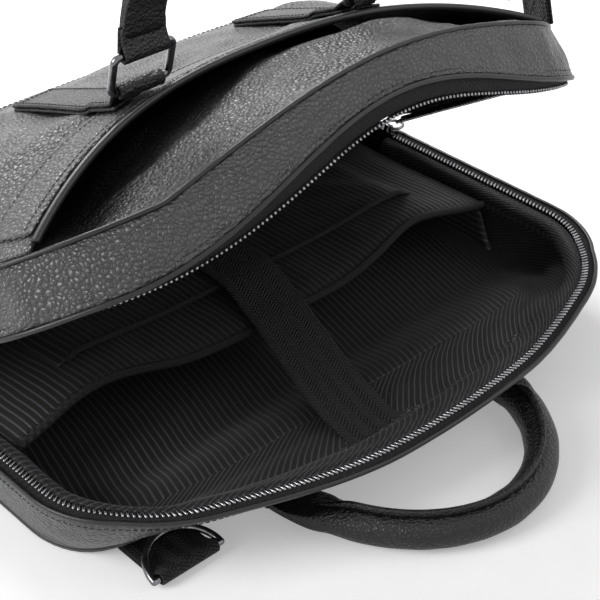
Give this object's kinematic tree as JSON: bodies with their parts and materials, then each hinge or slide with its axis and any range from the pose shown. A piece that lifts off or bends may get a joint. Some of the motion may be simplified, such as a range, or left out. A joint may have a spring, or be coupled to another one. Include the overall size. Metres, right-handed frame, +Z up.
{
  "type": "laptop briefcase",
  "caption": "Soft black leather laptop briefcase lying on its back with the zipped laptop compartment opened, two rolled handles and a padded sleeve inside.",
  "frame": {"origin": "middle of the resting face of the back panel, which lies on the surface", "axes": "+Z up out of the back panel, X along the width, -Y towards the top edge with the handles"},
  "size_m": [0.4204, 0.408, 0.3456],
  "materials": {
    "shell_leather": "soft pebbled black full-grain leather",
    "handle_leather": "pebbled black leather",
    "edge_leather": "black leather piping with painted edge",
    "lining": "black striped jacquard lining",
    "padding": "closed-cell foam board",
    "webbing": "black herringbone nylon webbing",
    "zip_tape": "black woven zip tape",
    "zip_metal": "gunmetal nickel zip teeth",
    "hardware": "gunmetal nickel plated fittings"
  },
  "bodies": {
    "rear_section": {"rear_panel": "shell_leather", "rear_yoke": "shell_leather", "rear_foam": "padding", "rear_wall": "shell_leather", "rear_piping": "edge_leather", "rear_tape": "zip_tape", "rear_chain": "zip_metal", "floor_lining": "lining", "wall_lining": "lining", "rim_roll": "lining", "base_shell": "shell_leather", "base_lining": "lining", "sleeve_panel": "lining", "sleeve_binding": "webbing", "sleeve_gussets": "lining", "slip_pocket": "lining", "slip_binding": "webbing", "loop_patch": "webbing", "zip_stops": "zip_metal", "rear_tabs": "handle_leather", "rear_tab_loops": "handle_leather", "strap_loop_left": "webbing"},
    "laptop_strap": {"laptop_strap": "webbing", "hook_patch": "webbing"},
    "slider_left": {"slider_left": "hardware"},
    "slider_right": {"slider_right": "hardware"},
    "pull_left": {"pull_left": "hardware"},
    "pull_right": {"pull_right": "hardware"},
    "front_section": {"front_gusset": "shell_leather", "front_rim_piping": "edge_leather", "front_seam_piping": "edge_leather", "front_tape": "zip_tape", "front_chain": "zip_metal", "front_gusset_lining": "lining", "front_ceiling": "lining", "front_panel": "shell_leather", "pocket_panel": "shell_leather", "pocket_band": "shell_leather", "pocket_binding": "edge_leather", "fold_leather": "shell_leather", "front_tabs": "handle_leather", "front_tab_loops": "handle_leather", "strap_loop_right": "webbing"},
    "front_ring_left": {"front_ring_left": "hardware"},
    "front_ring_right": {"front_ring_right": "hardware"},
    "front_handle": {"front_handle_ends": "handle_leather", "front_handle_grip": "handle_leather", "front_handle_welt": "handle_leather"},
    "rear_ring_left": {"rear_ring_left": "hardware"},
    "rear_ring_right": {"rear_ring_right": "hardware"},
    "rear_handle": {"rear_handle_ends": "handle_leather", "rear_handle_grip": "handle_leather", "rear_handle_welt": "handle_leather"},
    "d_ring_left": {"d_ring_left": "hardware"},
    "d_ring_right": {"d_ring_right": "hardware"}
  },
  "joints": [
    {"name": "front_open", "type": "hinge", "parent": "rear_section", "child": "front_section", "pos_m": [0, 0.065, 0.0498], "axis": [-1, 0, 0], "range_deg": [-31, 8]},
    {"name": "strap_peel", "type": "hinge", "parent": "rear_section", "child": "laptop_strap", "pos_m": [-0.024, -0.146, 0.029], "axis": [1, 0, 0], "range_deg": [0, 14]},
    {"name": "zip_left", "type": "slide", "parent": "rear_section", "child": "slider_left", "axis": [0, -1, 0], "range_m": [0, 0.135]},
    {"name": "zip_right", "type": "slide", "parent": "rear_section", "child": "slider_right", "axis": [0, -1, 0], "range_m": [0, 0.135]},
    {"name": "puller_left_swing", "type": "hinge", "parent": "slider_left", "child": "pull_left", "pos_m": [-0.1961, 0.0585, 0.0528], "axis": [0, 1, 0], "range_deg": [-5, 50]},
    {"name": "puller_right_swing", "type": "hinge", "parent": "slider_right", "child": "pull_right", "pos_m": [0.1961, 0.0585, 0.0528], "axis": [0, -1, 0], "range_deg": [-5, 50]},
    {"name": "front_ring_left_swing", "type": "hinge", "parent": "front_section", "child": "front_ring_left", "pos_m": [-0.08, -0.03346, 0.21251], "axis": [1, 0, 0], "range_deg": [-40, 32]},
    {"name": "front_ring_right_swing", "type": "hinge", "parent": "front_section", "child": "front_ring_right", "pos_m": [0.08, -0.03346, 0.21251], "axis": [1, 0, 0], "range_deg": [-40, 32]},
    {"name": "front_handle_swing", "type": "hinge", "parent": "front_ring_left", "child": "front_handle", "pos_m": [0, -0.03952, 0.23366], "axis": [1, 0, 0], "range_deg": [-40, 32]},
    {"name": "rear_ring_left_swing", "type": "hinge", "parent": "rear_section", "child": "rear_ring_left", "pos_m": [-0.08, -0.103, 0.00618], "axis": [1, 0, 0], "range_deg": [-4, 110]},
    {"name": "rear_ring_right_swing", "type": "hinge", "parent": "rear_section", "child": "rear_ring_right", "pos_m": [0.08, -0.103, 0.00618], "axis": [1, 0, 0], "range_deg": [-4, 110]},
    {"name": "rear_handle_swing", "type": "hinge", "parent": "rear_ring_left", "child": "rear_handle", "pos_m": [0, -0.125, 0.00618], "axis": [1, 0, 0], "range_deg": [-4, 35]},
    {"name": "left_d_swing", "type": "hinge", "parent": "rear_section", "child": "d_ring_left", "pos_m": [-0.148, -0.139, 0.00438], "axis": [1, 0, 0], "range_deg": [-4, 2]},
    {"name": "right_d_swing", "type": "hinge", "parent": "front_section", "child": "d_ring_right", "pos_m": [0.19981, -0.04853, 0.20145], "axis": [0.4226, 0.7769, -0.4668], "range_deg": [-26, 90]}
  ],
  "couplings": [
    {"joint": "front_ring_right_swing", "follows": "front_ring_left_swing", "ratio": 1},
    {"joint": "rear_ring_right_swing", "follows": "rear_ring_left_swing", "ratio": 1}
  ]
}
